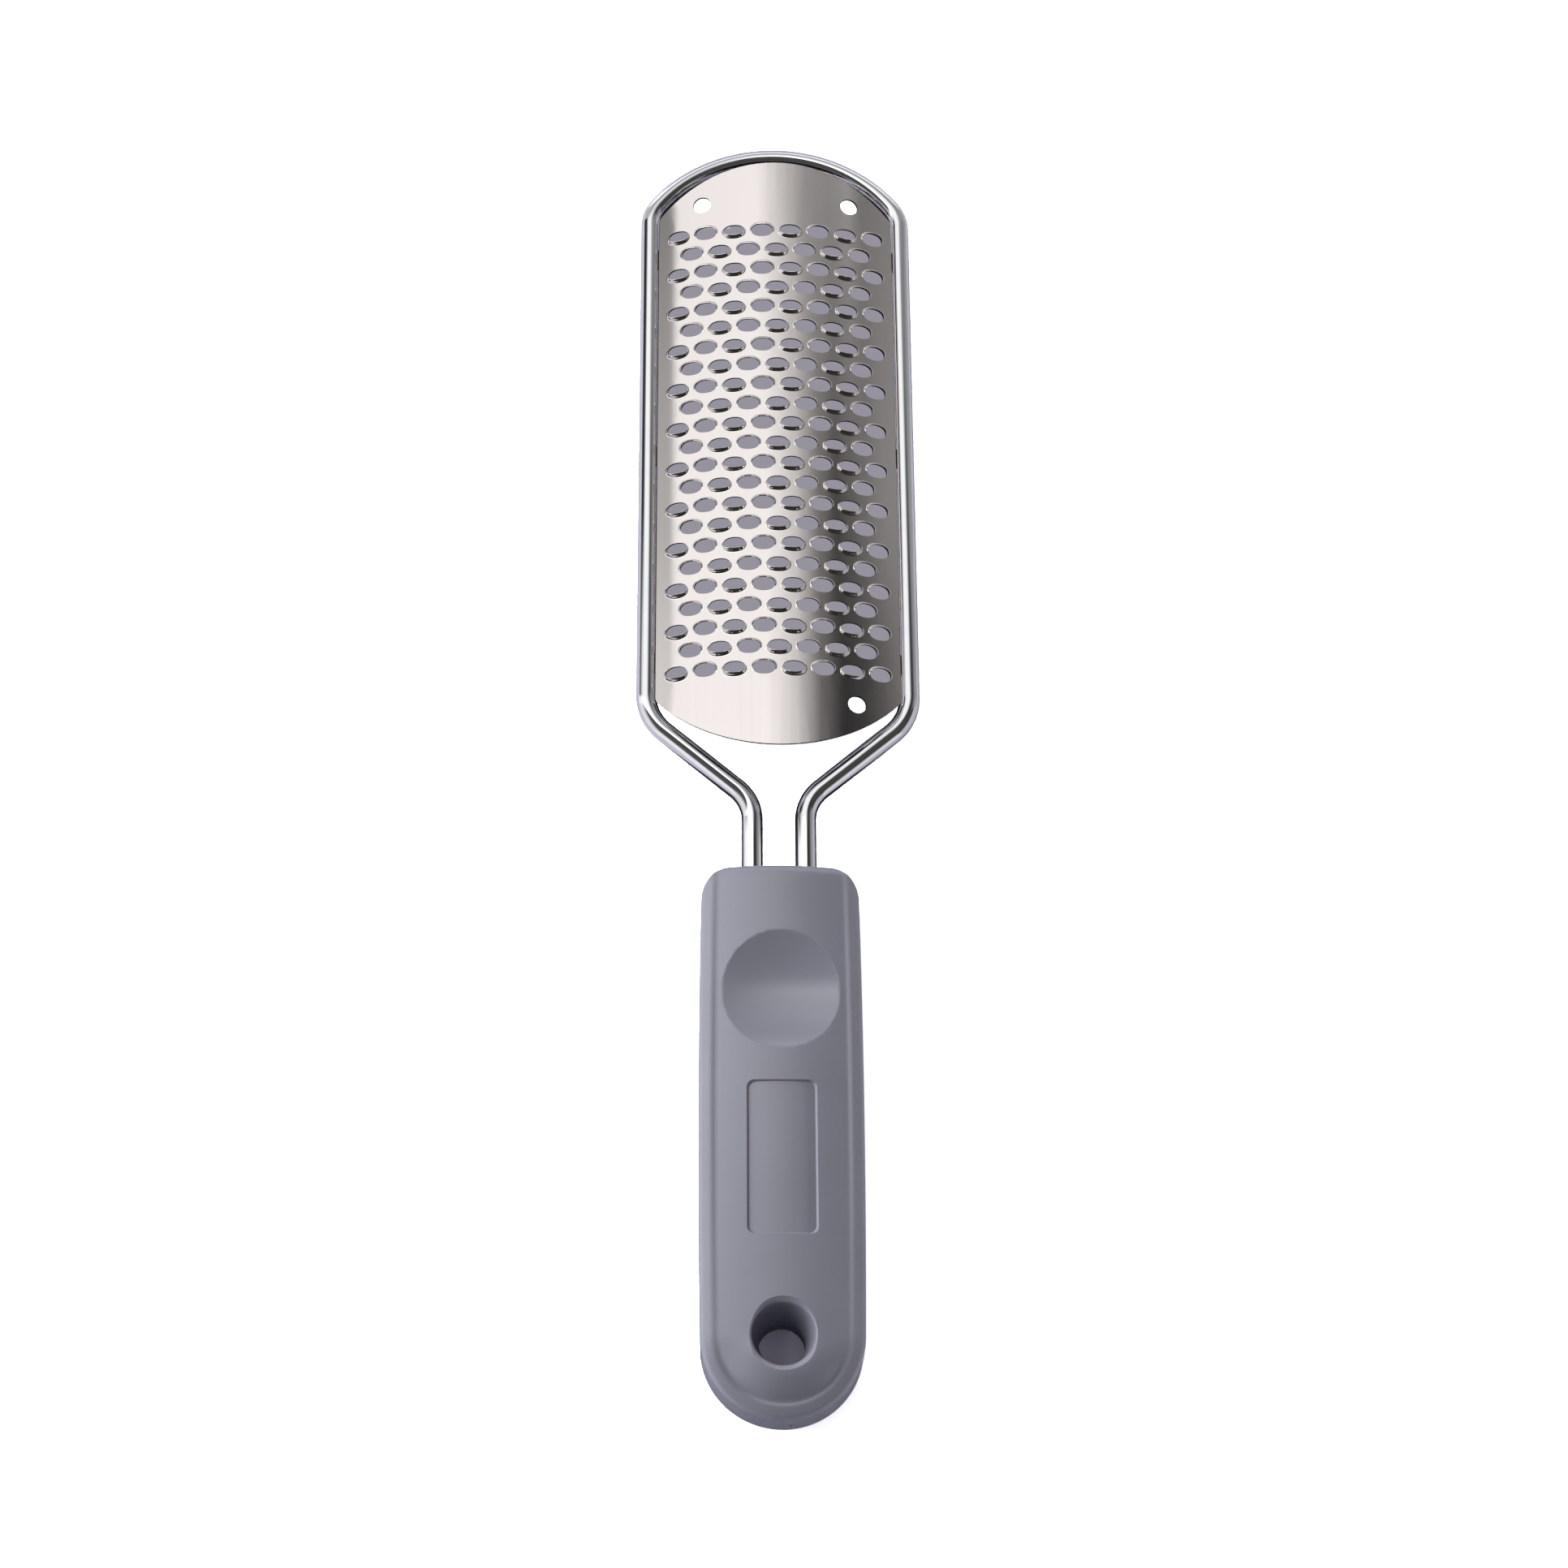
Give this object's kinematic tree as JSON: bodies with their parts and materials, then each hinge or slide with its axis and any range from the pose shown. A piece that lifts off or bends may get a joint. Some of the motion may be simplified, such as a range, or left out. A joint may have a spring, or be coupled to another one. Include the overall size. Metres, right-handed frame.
{
  "type": "foot file",
  "caption": "Foot file: an arched rasp plate with punched, raised teeth welded to a bent wire loop, and a soft moulded handle with a thumb dish and a hang hole.",
  "frame": {"origin": "under the middle of the whole tool, on the surface that it lies on with the rasping face up", "axes": "+Y from the handle to the tip of the wire loop, +X to the right seen from the rasping side, +Z out of the rasping face"},
  "size_m": [0.054, 0.265, 0.014],
  "materials": {
    "wire": "polished",
    "plate": "polished sheet",
    "weld": "as welded",
    "core": "moulded",
    "grip": "satin, soft touch"
  },
  "bodies": {
    "root": {"wire_frame": "wire", "rasp_plate": "plate", "weld_beads": "weld", "handle_core": "core", "handle_grip": "grip"}
  },
  "joints": []
}
